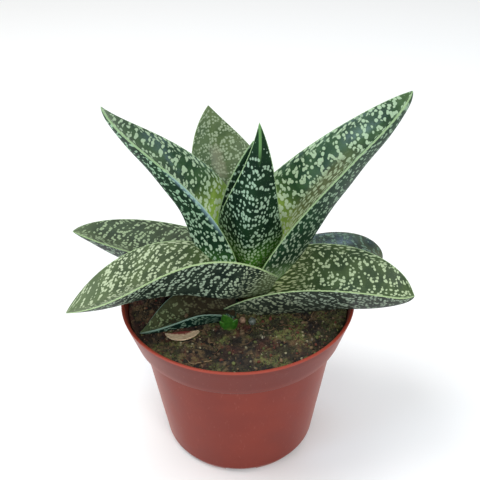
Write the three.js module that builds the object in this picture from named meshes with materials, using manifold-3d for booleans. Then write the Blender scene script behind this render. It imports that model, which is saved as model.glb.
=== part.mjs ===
// Potted gasteraloe: a rosette of keeled succulent leaves on one short stem, rooted in
// potting soil in a 10.5 cm plastic nursery pot. Millimetres, +Z up. The origin is the
// middle of the pot's underside; the front of the plant faces -Y.

import * as THREE from 'three';
import { mergeVertices } from 'three/addons/utils/BufferGeometryUtils.js';
import Module from 'manifold-3d';

const wasm = await Module();
wasm.setup();

// Clearance kept between pieces that touch on the real plant. A cut is made a little wider,
// because a flat face lies inside the curve through its corners. Corners closer together
// than weld are one point.
const clearance = 0.35;
const cutWidening = 1.3;
const weld = 1e-4;

// Pot: one thin moulded wall, conical, with a wider collar under the rim.
const potHeight = 77;
const rimRadius = 52.5;
const collarHeight = 15.7;
const collarFootRadius = 47.5;
const bodyTopRadius = 44.5;
const bodyFootRadius = 36.4;
const footMiddleRadius = 35.8;
const footRadius = 34.2;
const footRise = 6;
const wall = 1.2;
const lipWidth = 1.6;
const lipRound = 0.6;
const footRound = 0.8;
const ledgeRound = 0.4;
const floorThickness = 1.4;
const potSegments = 48;
const slotCount = 8;
const slotWidth = 14;
const slotDepth = 6;
const slotHeight = 1.8;
const slotRadius = 34.7;

// Soil: fills the pot to just under the rim, slightly uneven.
const soilLevel = 73;
const soilEdgeDrop = 0.7;
const soilWave = 0.6;
const soilSegments = 36;
const soilRings = [0.95, 0.84, 0.7, 0.56, 0.42, 0.28, 0.14];

// Stem: short and fleshy, hidden by the leaf bases, rooted in the soil.
const stemCentre = [6, 2];
const stemRadius = 6.5;
const stemTop = 85;
const stemFoot = 44;
const stemSegments = 20;

// Leaves: number of steps along a leaf and of points round its section.
const leafSteps = 15;
const leafSides = 12;

// What a leaf is like unless its own line says otherwise. Lengths are fractions of the
// leaf's length or of its half width: where it is widest, how wide its base is, how it
// narrows to the tip, how far the V section is folded up, how deep the keel hangs below,
// how much shallower the keel and flatter the V are at the tip. edge is half the margin's
// thickness in mm.
const plainLeaf = {
  widestAt: 0.35,
  baseWidth: 0.75,
  taper: 1.7,
  blunt: 0.95,
  fold: 0.45,
  keel: 0.35,
  keelFade: 0.45,
  flatten: 0.5,
  edge: 0.5,
  roll: 0,
  twist: 0,
};

// Every leaf from the heart outwards. spine is the cubic curve from stem to tip, heading is
// the compass angle that the leaf leaves the stem by, from +X towards +Y in degrees.
const leaves = [
  {
    name: 'leaf_centre_front',
    spine: [[7, 6, 83], [-0.5, -12, 116], [12, -8, 133], [9.5, -5, 162.5]],
    heading: 300, halfWidth: 14.1, roll: -40.3, twist: 9.4, widestAt: 0.26, baseWidth: 0.37,
    taper: 1.3, fold: 0.75, keel: 0.3,
  },
  {
    name: 'leaf_centre_inner',
    spine: [[11, 12, 81.5], [5.5, 5.5, 108.5], [3, 5, 128], [7.5, 4.5, 150.5]],
    heading: 300, halfWidth: 12.6, roll: -6.4, twist: 5, widestAt: 0.42, baseWidth: 0.3,
    taper: 1.3, fold: 0.62, keel: 0.3,
  },
  {
    name: 'leaf_upper_right',
    spine: [[12, 6.5, 77.5], [16.5, 13.5, 110.5], [68.5, 9, 154.5], [68, -1, 172.5]],
    heading: 355, halfWidth: 19.9, roll: 20.5, twist: -3, widestAt: 0.21, baseWidth: 0.56,
    taper: 1.3, fold: 0.77, keel: 0.75, flatten: 0.15,
  },
  {
    name: 'leaf_upper_left',
    spine: [[-6, 5, 79.5], [-7.5, 11.5, 130.5], [-45.5, 7, 145], [-49, -12.5, 173]],
    heading: 190, halfWidth: 17.6, roll: -18.5, twist: 9.5, widestAt: 0.16, baseWidth: 0.61,
    taper: 1.3, fold: 0.69, keel: 0.64, flatten: 0.43,
  },
  {
    name: 'leaf_back_upright',
    spine: [[3, 9, 81.5], [1.6, 27.4, 111.6], [-12.7, 38.1, 127.2], [-11.7, 44, 150]],
    heading: 125, halfWidth: 19.4, widestAt: 0.4, baseWidth: 0.8, taper: 2, fold: 0.45,
  },
  {
    name: 'leaf_back_right',
    spine: [[9.5, 9, 78], [16, 22, 93], [22, 38, 101], [25, 50, 100]],
    heading: 65, halfWidth: 13, fold: 0.5, keel: 0.3, taper: 2,
  },
  {
    name: 'leaf_back_left',
    spine: [[2, 9, 78], [-2, 22, 93], [-7, 38, 101], [-10, 49, 99]],
    heading: 104, halfWidth: 13, fold: 0.5, keel: 0.3, taper: 2,
  },
  {
    name: 'leaf_right_back',
    spine: [[10, 10, 76], [31.5, 25, 88], [60.5, 31, 83.5], [69, 21.5, 80]],
    heading: 20, halfWidth: 9.6, roll: 2, twist: 3, widestAt: 0.61, baseWidth: 0.68, taper: 3.3,
  },
  {
    name: 'leaf_left_level',
    spine: [[-0.5, 6.5, 79], [-24, 20.5, 80], [-59.5, 30, 88.5], [-76.5, 25, 96.5]],
    heading: 172, halfWidth: 19.9, roll: 5.5, twist: 3.5, fold: 0.56, keel: 0.55, taper: 2.3,
  },
  {
    name: 'leaf_right_front',
    spine: [[0, -3, 71], [37.5, -10, 94.5], [67.5, -14, 81], [74, -21, 90]],
    heading: 347, halfWidth: 19.8, roll: -2.7, twist: -2, widestAt: 0.32, baseWidth: 0.56,
    taper: 2.05, fold: 0.71, keel: 0.56, flatten: 0.21,
  },
  {
    name: 'leaf_left_front',
    spine: [[12.5, -4, 84.5], [-12, -30, 103], [-16, -5, 104.5], [-72.5, -22, 85]],
    heading: 200, halfWidth: 22, roll: 34, twist: -26.5, widestAt: 0.65, baseWidth: 0.3,
    taper: 3.2, fold: 0.62, keel: 0.5, flatten: 0.6,
  },
  {
    name: 'leaf_small_front',
    spine: [[-2, -13, 77.5], [-20, -5, 73.5], [-30, -18, 72.5], [-42.5, -21.5, 73]],
    heading: 207, halfWidth: 13.3, roll: 6.5, twist: 8, widestAt: 0.35, baseWidth: 0.71,
    taper: 1.5, fold: 0.65, keel: 0.54, flatten: 0.42,
  },
];

// A leaf whose tip stands higher than this belongs to the dark, upright heart.
const heartHeight = 140;

// Young offset: a tuft of small blades breaking the soil under the front leaves.
const offsetBlades = [
  {
    spine: [[-4, -20, 71.5], [-4, -20.6, 76], [-5, -21.8, 80], [-6.5, -23, 83.5]],
    heading: 270, halfWidth: 3.1,
  },
  {
    spine: [[-3.2, -20, 71.5], [-2.2, -20.2, 75], [-1.4, -20.8, 77.5], [-0.4, -21.5, 79.8]],
    heading: 285, halfWidth: 2.1,
  },
  {
    spine: [[-4.8, -20, 71.5], [-6, -20.3, 74.5], [-7, -21, 77], [-8, -21.8, 79]],
    heading: 255, halfWidth: 1.9,
  },
];
const bladeShape = { fold: 0.3, keel: 0.25, edge: 0.3 };
const bladeSteps = 6;
const bladeSides = 8;

// Dried scrap of an old leaf lying on the soil.
const scrapShape = {
  spine: [[-17, -21.8, 73.9], [-21, -26.8, 74.8], [-27, -27.4, 74.6], [-31.5, -22.8, 73.8]],
  heading: 185, halfWidth: 3, widestAt: 0.5, baseWidth: 0.15, fold: 0.15, keel: 0.05, edge: 0.35,
};
const scrapSteps = 8;
const scrapSides = 8;

// Two loose grains on the soil in front of the stem.
const grains = [
  { name: 'tan_granule', radius: 1.6, centre: [1.8, -15.3, 74.2] },
  { name: 'clear_grit_bead', radius: 1.9, centre: [6, -16.4, 74.3] },
];
const grainDetail = 1;

const potMaterial = new THREE.MeshStandardMaterial({ color: 0x8a4a40, roughness: 0.45, metalness: 0 });
const soilMaterial = new THREE.MeshStandardMaterial({ color: 0x3a2a1e, roughness: 0.95, metalness: 0 });
const stemMaterial = new THREE.MeshStandardMaterial({ color: 0x8a8a5a, roughness: 0.7, metalness: 0 });
const heartMaterial = new THREE.MeshStandardMaterial({ color: 0x2c4a30, roughness: 0.35, metalness: 0 });
const outerMaterial = new THREE.MeshStandardMaterial({ color: 0x566b45, roughness: 0.4, metalness: 0 });
const offsetMaterial = new THREE.MeshStandardMaterial({ color: 0x3c7a1e, roughness: 0.5, metalness: 0 });
const scrapMaterial = new THREE.MeshStandardMaterial({ color: 0xa8886a, roughness: 0.9, metalness: 0 });
const tanMaterial = new THREE.MeshStandardMaterial({ color: 0x9a7a5a, roughness: 0.8, metalness: 0 });
const beadMaterial = new THREE.MeshStandardMaterial({ color: 0x8a948c, roughness: 0.2, metalness: 0 });

// The same mesh with its doubled corners joined.
function welded(geometry) {
  const plain = geometry.clone();
  plain.deleteAttribute('normal');
  plain.deleteAttribute('uv');
  return mergeVertices(plain, weld);
}

// A closed mesh as a solid that can be joined and cut.
function toSolid(geometry) {
  const merged = welded(geometry);
  const index = merged.index.array;
  const kept = [];
  for (let i = 0; i < index.length; i += 3) {
    const [a, b, c] = [index[i], index[i + 1], index[i + 2]];
    if (a !== b && b !== c && c !== a) {
      kept.push(a, b, c);
    }
  }
  const vertProperties = new Float32Array(merged.attributes.position.array);
  return new wasm.Manifold(new wasm.Mesh({ numProp: 3, vertProperties, triVerts: new Uint32Array(kept) }));
}

function toGeometry(solid) {
  const mesh = solid.getMesh();
  const geometry = new THREE.BufferGeometry();
  geometry.setAttribute('position', new THREE.BufferAttribute(new Float32Array(mesh.vertProperties), 3));
  geometry.setIndex(new THREE.BufferAttribute(new Uint32Array(mesh.triVerts), 1));
  geometry.computeVertexNormals();
  return geometry;
}

// The largest connected lump of a solid, so that a cut leaves no crumbs.
function mainLump(solid) {
  const lumps = solid.decompose();
  return lumps.reduce((best, lump) => (lump.volume() > best.volume() ? lump : best));
}

// The same closed shape with every vertex moved outwards along its normal.
function grown(geometry, distance) {
  const copy = geometry.clone();
  copy.computeVertexNormals();
  const position = copy.attributes.position;
  const normal = copy.attributes.normal;
  for (let i = 0; i < position.count; i++) {
    position.setXYZ(
      i,
      position.getX(i) + distance * normal.getX(i),
      position.getY(i) + distance * normal.getY(i),
      position.getZ(i) + distance * normal.getZ(i),
    );
  }
  return copy;
}

// One point of a leaf's section: across the leaf, and up towards its inner face.
function sectionPoint(leaf, t, angle) {
  const rising = Math.sin(Math.min(t / leaf.widestAt, 1) * Math.PI / 2);
  const falling = Math.max(0, (t - leaf.widestAt) / (1 - leaf.widestAt));
  const spread = t < leaf.widestAt
    ? leaf.baseWidth + (1 - leaf.baseWidth) * rising
    : (1 - falling ** leaf.taper) ** leaf.blunt;
  const half = leaf.halfWidth * spread;
  const fold = leaf.fold * (1 - leaf.flatten * t);
  const keel = leaf.keel * (1 - leaf.keelFade * t);
  const across = Math.sin(angle);
  const reach = Math.abs(across);
  const edge = leaf.edge * Math.sqrt(Math.min(1, (1 - t) * 12)) * Math.sqrt(Math.max(0, 1 - reach ** 8));
  const up = Math.cos(angle) >= 0
    ? half * fold * reach ** 1.4 + edge
    : half * (-keel + (fold + keel) * reach ** 1.35) - edge;
  return [across * half, up];
}

// A keeled leaf: the V section carried along the spine, closed at its base and its tip.
function leafGeometry(shape, steps, sides) {
  const leaf = { ...plainLeaf, ...shape };
  const curve = new THREE.CubicBezierCurve3(...leaf.spine.map((p) => new THREE.Vector3(...p)));
  const heading = THREE.MathUtils.degToRad(leaf.heading);
  const level = new THREE.Vector3(-Math.sin(heading), Math.cos(heading), 0);
  const points = [];
  const faces = [];
  for (let i = 0; i < steps; i++) {
    const t = i / steps;
    const centre = curve.getPoint(t);
    const along = curve.getTangent(t);
    const side = level.clone().addScaledVector(along, -along.dot(level)).normalize();
    const roll = THREE.MathUtils.degToRad(leaf.roll + leaf.twist * t);
    side.applyAxisAngle(along, roll);
    const up = new THREE.Vector3().crossVectors(along, side);
    for (let j = 0; j < sides; j++) {
      const [x, z] = sectionPoint(leaf, t, 2 * Math.PI * (j + 0.5) / sides);
      points.push(centre.clone().addScaledVector(side, x).addScaledVector(up, z));
    }
  }
  const base = points.length;
  points.push(curve.getPoint(0));
  const tip = points.length;
  points.push(curve.getPoint(1));
  for (let j = 0; j < sides; j++) {
    const k = (j + 1) % sides;
    faces.push(base, j, k);
    for (let i = 0; i < steps - 1; i++) {
      const low = i * sides;
      const high = low + sides;
      faces.push(low + j, high + k, low + k, low + j, high + j, high + k);
    }
    const last = (steps - 1) * sides;
    faces.push(last + j, tip, last + k);
  }
  const geometry = new THREE.BufferGeometry().setFromPoints(points);
  geometry.setIndex(faces);
  return geometry;
}

// A closed profile of [radius, height] pairs turned about the vertical axis.
function turned(profile, segments) {
  const geometry = new THREE.LatheGeometry(profile.map(([r, z]) => new THREE.Vector2(r, z)), segments);
  geometry.rotateX(Math.PI / 2);
  return geometry;
}

// Radius inside the pot's collar at a height.
const ledge = potHeight - collarHeight;
function collarInside(z) {
  const top = rimRadius - lipWidth;
  const foot = collarFootRadius - wall;
  return foot + (top - foot) * (z - ledge - wall) / (collarHeight - wall);
}

function makePot() {
  const profile = [
    [0, 0],
    [footRadius, 0],
    [footRadius + footRound, footRound],
    [footMiddleRadius, footRise / 2],
    [bodyFootRadius, footRise],
    [bodyTopRadius, ledge],
    [collarFootRadius - ledgeRound, ledge],
    [collarFootRadius, ledge + ledgeRound],
    [rimRadius, potHeight - lipRound],
    [rimRadius - lipRound, potHeight],
    [rimRadius - lipWidth + lipRound / 2, potHeight],
    [rimRadius - lipWidth, potHeight - lipRound],
    [collarFootRadius - wall, ledge + wall],
    [bodyTopRadius - wall, ledge + wall],
    [bodyFootRadius - wall, footRise],
    [footMiddleRadius - wall, footRise / 2],
    [footRadius - wall, floorThickness],
    [0, floorThickness],
  ];
  let pot = toSolid(turned(profile, potSegments));
  for (let i = 0; i < slotCount; i++) {
    const slot = new THREE.BoxGeometry(slotWidth, 2 * slotDepth, 2 * slotHeight);
    slot.translate(0, -slotRadius, 0);
    slot.rotateZ(2 * Math.PI * i / slotCount);
    pot = pot.subtract(toSolid(slot));
  }
  return pot;
}

// Height of the soil's surface, in gentle waves that fade to the wall.
function soilHeight(x, y) {
  const r = Math.hypot(x, y) / rimRadius;
  const wave = Math.sin(x / 7 + 1) * Math.cos(y / 9) + 0.5 * Math.sin(x / 4 - y / 5);
  return soilLevel - soilEdgeDrop * r ** 6 + soilWave * wave * (1 - r ** 4);
}

function makeSoil() {
  const edge = collarInside(soilLevel) - clearance;
  const profile = [
    [0, floorThickness + clearance],
    [footRadius - wall - 2 * clearance, floorThickness + clearance],
    [footMiddleRadius - wall - 2 * clearance, footRise / 2],
    [bodyFootRadius - wall - clearance, footRise],
    [bodyTopRadius - wall - clearance, ledge + wall + clearance],
    [collarFootRadius - wall - clearance, ledge + wall + clearance],
    [edge, soilLevel],
    ...soilRings.map((part) => [edge * part, soilLevel]),
    [0, soilLevel],
  ];
  const geometry = turned(profile, soilSegments);
  const position = geometry.attributes.position;
  for (let i = 0; i < position.count; i++) {
    if (position.getZ(i) > soilLevel - 0.01) {
      position.setZ(i, soilHeight(position.getX(i), position.getY(i)));
    }
  }
  return toSolid(geometry);
}

function stemGeometry() {
  const profile = [
    [0, stemFoot],
    [stemRadius * 0.35, stemFoot + 2],
    [stemRadius * 0.8, stemFoot + 16],
    [stemRadius, stemFoot + 28],
    [stemRadius * 0.9, stemTop - 4],
    [stemRadius * 0.55, stemTop - 1],
    [0, stemTop],
  ];
  const geometry = turned(profile, stemSegments);
  geometry.translate(...stemCentre, 0);
  return geometry;
}

const group = new THREE.Group();
function addPiece(name, solid, material) {
  const mesh = new THREE.Mesh(toGeometry(solid), material);
  mesh.name = name;
  group.add(mesh);
}

// Pieces grow round each other from the heart outwards: each one is cut where it meets the
// ones before it, and the soil is cut last by all that stand in it.
const standing = [];
function overlapping(a, b) {
  return [0, 1, 2].every((i) => a.min[i] < b.max[i] && b.min[i] < a.max[i]);
}
function fitAround(solid) {
  let fitted = solid;
  for (const neighbour of standing) {
    if (overlapping(fitted.boundingBox(), neighbour.boundingBox())) {
      fitted = fitted.subtract(neighbour);
    }
  }
  return mainLump(fitted);
}
function plant(name, geometry, material) {
  addPiece(name, fitAround(toSolid(geometry)), material);
  const whole = welded(geometry);
  standing.push(toSolid(grown(whole, clearance * cutWidening)).add(toSolid(whole)));
}

plant('stem', stemGeometry(), stemMaterial);
for (const leaf of leaves) {
  const heart = leaf.spine[3][2] > heartHeight;
  plant(leaf.name, leafGeometry(leaf, leafSteps, leafSides), heart ? heartMaterial : outerMaterial);
}

const tuft = offsetBlades
  .map((blade) => toSolid(leafGeometry({ ...bladeShape, ...blade }, bladeSteps, bladeSides)))
  .reduce((joined, blade) => joined.add(blade));
plant('young_offset', toGeometry(tuft), offsetMaterial);
plant('dried_leaf_scrap', leafGeometry(scrapShape, scrapSteps, scrapSides), scrapMaterial);
for (const grain of grains) {
  const ball = new THREE.IcosahedronGeometry(grain.radius, grainDetail);
  ball.translate(...grain.centre);
  plant(grain.name, ball, grain.name === 'tan_granule' ? tanMaterial : beadMaterial);
}

addPiece('potting_soil', fitAround(makeSoil()), soilMaterial);
addPiece('pot', makePot(), potMaterial);

export default group;
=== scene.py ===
# Potted gasteraloe: the fine surfaces and finishes of the plant, its soil and its pot.
# +Z is up; the origin is the middle of the pot's underside and the plant's front faces -Y. Shapes
# are worked out in millimetres and put into the meshes in metres.

import bpy
import numpy as np
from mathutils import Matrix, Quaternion, Vector


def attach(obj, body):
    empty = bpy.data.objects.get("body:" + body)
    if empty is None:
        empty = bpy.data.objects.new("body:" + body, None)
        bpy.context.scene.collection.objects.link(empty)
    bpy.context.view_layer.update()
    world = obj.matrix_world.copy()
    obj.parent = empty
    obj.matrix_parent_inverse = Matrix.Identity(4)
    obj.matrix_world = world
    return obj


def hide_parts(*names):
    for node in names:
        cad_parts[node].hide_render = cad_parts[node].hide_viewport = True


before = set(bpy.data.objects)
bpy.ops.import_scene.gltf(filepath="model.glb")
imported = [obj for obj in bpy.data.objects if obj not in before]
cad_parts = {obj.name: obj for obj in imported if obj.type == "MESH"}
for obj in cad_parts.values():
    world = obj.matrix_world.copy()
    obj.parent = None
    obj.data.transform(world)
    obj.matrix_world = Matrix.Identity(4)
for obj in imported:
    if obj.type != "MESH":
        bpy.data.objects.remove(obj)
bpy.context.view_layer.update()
scene = bpy.context.scene
MM = 0.001

# Camera: from the front, 32.5 degrees above the horizon, 0.31 m from the middle of the leaves,
# with a slight roll.
camera_at = Vector((0, -264.6, 274.2)) * MM
camera_aim = Vector((1.4, 0, 105.9)) * MM
camera_roll = np.radians(-0.9)
camera_data = bpy.data.cameras.new("camera")
camera_data.sensor_width = 36
camera_data.lens = 54.6
camera = bpy.data.objects.new("camera", camera_data)
scene.collection.objects.link(camera)
camera.location = camera_at
camera.rotation_mode = "QUATERNION"
facing = (camera_aim - camera_at).to_track_quat("-Z", "Y")
camera.rotation_quaternion = facing @ Quaternion((0, 0, 1), camera_roll)
scene.camera = camera
scene.view_settings.view_transform = "Standard"

# Leaves: fleshy, keeled blades with a V section, horny pale margins and raised pale spots. Each
# grows from the short stem along a curved spine. Spines and half widths are in mm, heading, roll
# and twist in degrees; widest is a share of the length, base, fold and keel of the half width.
plain_leaf = dict(
    roll=0, twist=0, widest=0.35, base=0.75, taper=1.7, blunt=0.95,
    fold=0.45, keel=0.35, flatten=0.5, edge=0.5, wave=0.3, teeth=0.1,
)
leaves = [
    dict(
        name="leaf_centre_front", skin="centre",
        spine=[(7, 6, 83), (-0.5, -12, 116), (12, -8, 133), (9.5, -5, 162.5)],
        heading=300, half=14.1, roll=-40.3, twist=9.4, widest=0.26, base=0.37, taper=1.3,
        fold=0.75, keel=0.3,
    ),
    dict(
        name="leaf_centre_inner", skin="centre",
        spine=[(11, 12, 81.5), (5.5, 5.5, 108.5), (3, 5, 128), (7.5, 4.5, 150.5)],
        heading=300, half=12.6, roll=-6.4, twist=5, widest=0.42, base=0.3, taper=1.3, fold=0.62,
        keel=0.3,
    ),
    dict(
        name="leaf_upper_right", skin="upper",
        spine=[(12, 6.5, 77.5), (16.5, 13.5, 110.5), (68.5, 9, 154.5), (68, -1, 172.5)],
        heading=355, half=19.9, roll=20.5, twist=-3, widest=0.21, base=0.56, taper=1.3, fold=0.77,
        keel=0.75, flatten=0.15,
    ),
    dict(
        name="leaf_upper_left", skin="upper_left",
        spine=[(-6, 5, 79.5), (-7.5, 11.5, 130.5), (-45.5, 7, 145), (-49, -12.5, 173)],
        heading=190, half=17.6, roll=-18.5, twist=9.5, widest=0.16, base=0.61, taper=1.3,
        fold=0.69, keel=0.64, flatten=0.43,
    ),
    dict(
        name="leaf_back_upright", skin="back",
        spine=[(3, 9, 81.5), (1.6, 27.4, 111.6), (-12.7, 38.1, 127.2), (-11.7, 44, 150)],
        heading=125, half=19.4, widest=0.4, base=0.8, taper=2, fold=0.45,
    ),
    dict(
        name="leaf_back_right", skin="outer",
        spine=[(9.5, 9, 78), (16, 22, 93), (22, 38, 101), (25, 50, 100)],
        heading=65, half=13, fold=0.5, keel=0.3, taper=2,
    ),
    dict(
        name="leaf_back_left", skin="outer",
        spine=[(2, 9, 78), (-2, 22, 93), (-7, 38, 101), (-10, 49, 99)],
        heading=104, half=13, fold=0.5, keel=0.3, taper=2,
    ),
    dict(
        name="leaf_right_back", skin="level",
        spine=[(10, 10, 76), (31.5, 25, 88), (60.5, 31, 83.5), (69, 21.5, 80)],
        heading=20, half=9.6, roll=2, twist=3, widest=0.61, base=0.68, taper=3.3,
    ),
    dict(
        name="leaf_left_level", skin="left",
        spine=[(-0.5, 6.5, 79), (-24, 20.5, 80), (-59.5, 30, 88.5), (-76.5, 25, 96.5)],
        heading=172, half=19.9, roll=5.5, twist=3.5, fold=0.56, keel=0.55, taper=2.3,
    ),
    dict(
        name="leaf_right_front", skin="right",
        spine=[(0, -3, 71), (37.5, -10, 94.5), (67.5, -14, 81), (74, -21, 90)],
        heading=347, half=19.8, roll=-2.7, twist=-2, widest=0.32, base=0.56, taper=2.05, fold=0.71,
        keel=0.56, flatten=0.21,
    ),
    dict(
        name="leaf_left_front", skin="outer",
        spine=[(12.5, -4, 84.5), (-12, -30, 103), (-16, -5, 104.5), (-72.5, -22, 85)],
        heading=200, half=22, roll=34, twist=-26.5, widest=0.65, base=0.3, taper=3.2, fold=0.62,
        keel=0.5, flatten=0.6,
    ),
    dict(
        name="leaf_small_front", skin="small",
        spine=[(-2, -13, 77.5), (-20, -5, 73.5), (-30, -18, 72.5), (-42.5, -21.5, 73)],
        heading=207, half=13.3, roll=6.5, twist=8, widest=0.35, base=0.71, taper=1.5, fold=0.65,
        keel=0.54, flatten=0.42,
    ),
]


def unit(vectors):
    """Each vector of an array divided by its length."""
    return vectors / np.linalg.norm(vectors, axis=-1, keepdims=True)


def spine_points(spine, t):
    """A cubic curve through base and tip, pulled by two points between, and its direction."""
    a, b, c, d = (np.array(point, float) for point in spine)
    s = t[:, None]
    place = a * (1 - s) ** 3 + 3 * b * s * (1 - s) ** 2 + 3 * c * s**2 * (1 - s) + d * s**3
    along = 3 * (b - a) * (1 - s) ** 2 + 6 * (c - b) * s * (1 - s) + 3 * (d - c) * s**2
    return place, unit(along)


def leaf_section(leaf, t, angle):
    """Half width: a quarter sine up to the widest place, then a power curve to the tip. Height:
    a V that rises to the margins by a power of the distance from the middle on the inner face,
    and hangs to a keel on the outer face, with a rounded margin."""
    inner_power, outer_power, margin_power = 1.4, 1.35, 8
    keel_lost_at_tip = 0.45
    thin_from_tip = 12
    spread = np.sin(np.clip(t / leaf["widest"], 0, 1) * np.pi / 2)
    before = leaf["base"] + (1 - leaf["base"]) * spread
    past = np.clip((t - leaf["widest"]) / (1 - leaf["widest"]), 0, 1)
    after = np.maximum(0, 1 - past ** leaf["taper"]) ** leaf["blunt"]
    half = leaf["half"] * np.where(t < leaf["widest"], before, after)
    fold = leaf["fold"] * (1 - leaf["flatten"] * t)
    keel = leaf["keel"] * (1 - keel_lost_at_tip * t)
    across = np.sin(angle)
    reach = np.abs(across)
    thinned = np.minimum(1, (1 - t) * thin_from_tip) * np.maximum(0, 1 - reach**margin_power)
    edge = leaf["edge"] * np.sqrt(thinned)
    inner = half * fold * reach**inner_power + edge
    outer = half * (-keel + (fold + keel) * reach**outer_power) - edge
    return across * half, np.where(np.cos(angle) >= 0, inner, outer), half


def leaf_axes(leaf, t):
    """The spine, its length so far, and unit vectors sideways and upwards: level across the
    heading, then turned about the spine by the roll and a share of the twist."""
    centre, along = spine_points(leaf["spine"], t)
    gaps = np.linalg.norm(np.diff(centre, axis=0), axis=1)
    length = np.concatenate([[0], np.cumsum(gaps)])
    heading = np.radians(leaf["heading"])
    level = np.array([-np.sin(heading), np.cos(heading), 0])
    side = unit(level - (along @ level)[:, None] * along)
    up = np.cross(along, side)
    roll = np.radians(leaf["roll"] + leaf["twist"] * t)[:, None]
    side, up = side * np.cos(roll) + up * np.sin(roll), up * np.cos(roll) - side * np.sin(roll)
    return centre, length, side, up


def uneven_section(leaf, number, x, z, half, v, reach):
    """The section made less even: fine blunt teeth that push the margins out, a squared cosine
    along the leaf, and waves over both faces, products and sums of sines."""
    tooth = np.cos(v * 4.4 + 2 * np.sin(v * 0.9 + number)) ** 2
    x = x + np.sign(x) * leaf["teeth"] * tooth * reach**30 * np.minimum(1, half / 4)
    wave = np.sin(v / 9 + number) * np.sin(x / 7 + 2 * number)
    wave = wave + 0.5 * np.sin(v / 4.3 + x / 5 + number)
    return x, z + leaf["wave"] * wave * np.minimum(1, half / 9) * (1 - reach**6)


def surface_across(x, z):
    """Two lengths in mm along the surface of the section: from the middle of a point's own face,
    and from the nearer margin. Both are running sums of the steps from point to point."""
    rows, sides = x.shape
    quarter = sides // 4
    step = np.hypot(np.diff(x, axis=1), np.diff(z, axis=1))
    run = np.concatenate([np.zeros((rows, 1)), np.cumsum(step, axis=1)], axis=1)
    closing = run[:, -1:] + np.hypot(x[:, :1] - x[:, -1:], z[:, :1] - z[:, -1:])
    keel_run = run[:, 2 * quarter : 2 * quarter + 1]
    column = np.arange(sides)
    past_keel = np.where(column <= 3 * quarter, run - keel_run, run - closing)
    across = np.where(column <= quarter, run, past_keel)
    one_margin = np.abs(run - run[:, quarter : quarter + 1])
    other_margin = np.abs(run - run[:, 3 * quarter : 3 * quarter + 1])
    return across, np.minimum(one_margin, other_margin)


def leaf_arrays(leaf, number):
    """Points of a leaf on a grid of spine steps by section angles, then its two ends, with two
    vectors a point for its finish: skin is mm across and along the surface and the leaf's number,
    place is mm from the margin, share of the length, and 0 on the inner or 1 on the outer face."""
    steps = leaf.get("steps", 240)
    sides = leaf.get("sides", 64)
    t = np.linspace(0, 1, steps, endpoint=False) ** 0.9
    angle = np.arange(sides) * 2 * np.pi / sides
    centre, length, side, up = leaf_axes(leaf, t)
    x, z, half = leaf_section(leaf, t[:, None], angle[None, :])
    v = length[:, None] + 0 * angle
    x, z = uneven_section(leaf, number, x, z, half, v, np.abs(np.sin(angle))[None, :])
    points = centre[:, None] + x[..., None] * side[:, None] + z[..., None] * up[:, None]
    across, margin = surface_across(x, z)
    stride = np.linalg.norm(np.diff(points, axis=0), axis=-1)
    line = np.concatenate([np.zeros((1, sides)), np.cumsum(stride, axis=0)])
    middle = steps // 2
    line = line - line[middle] + length[middle]
    outer = np.broadcast_to(np.cos(angle) < -1e-9, x.shape).astype(float)
    skin = np.stack([across, line, np.full_like(v, number)], axis=-1)
    place = np.stack([margin, t[:, None] + 0 * angle, outer], axis=-1)
    ends = [centre[0], np.array(leaf["spine"][3], float)]
    skin_ends = [[0, 0, number], [0, length[-1] + 0.4, number]]
    place_ends = [[9, 0, 0], [0, 1, 0]]
    return (
        np.concatenate([points.reshape(-1, 3), ends]),
        np.concatenate([skin.reshape(-1, 3), skin_ends]),
        np.concatenate([place.reshape(-1, 3), place_ends]),
        steps, sides,
    )


def tube_faces(rows, columns, first=0):
    """Quads between the rows of a grid whose columns close round, then the two end fans."""
    row = np.arange(rows - 1)[:, None] * columns + first
    column = np.arange(columns)[None, :]
    onward = (column + 1) % columns
    quads = np.stack(
        [row + column, row + column + columns, row + onward + columns, row + onward], axis=-1
    ).reshape(-1, 4)
    base = first + rows * columns
    column, onward = column[0], onward[0]
    last = first + (rows - 1) * columns
    start = np.stack([np.full(columns, base), first + column, first + onward], axis=-1)
    end = np.stack([np.full(columns, base + 1), last + onward, last + column], axis=-1)
    return quads, np.concatenate([start, end])


def make_mesh(name, points, quads, triangles=(), vectors=None, smooth=True):
    """A mesh object from mm points, four-sided and three-sided faces and named vectors a point."""
    triangles = np.asarray(triangles, int).reshape(-1, 3)
    mesh = bpy.data.meshes.new(name)
    corners = np.concatenate([quads.reshape(-1), triangles.reshape(-1)])
    sizes = np.concatenate([np.full(len(quads), 4), np.full(len(triangles), 3)])
    mesh.vertices.add(len(points))
    mesh.vertices.foreach_set("co", (points * MM).ravel())
    mesh.loops.add(len(corners))
    mesh.loops.foreach_set("vertex_index", corners)
    mesh.polygons.add(len(sizes))
    mesh.polygons.foreach_set("loop_start", np.concatenate([[0], np.cumsum(sizes)[:-1]]))
    mesh.polygons.foreach_set("loop_total", sizes)
    mesh.update(calc_edges=True)
    mesh.validate()
    mesh.polygons.foreach_set("use_smooth", np.full(len(mesh.polygons), smooth))
    for key, values in (vectors or {}).items():
        layer = mesh.attributes.new(key, "FLOAT_VECTOR", "POINT")
        layer.data.foreach_set("vector", np.asarray(values, float).ravel())
    piece = bpy.data.objects.new(name, mesh)
    scene.collection.objects.link(piece)
    return piece


def linear(red, green, blue):
    """A screen colour from 0 to 255 as the shader's linear colour."""
    value = np.array([red, green, blue]) / 255
    value = np.where(value <= 0.04045, value / 12.92, ((value + 0.055) / 1.055) ** 2.4)
    return (*value.tolist(), 1)


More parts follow.
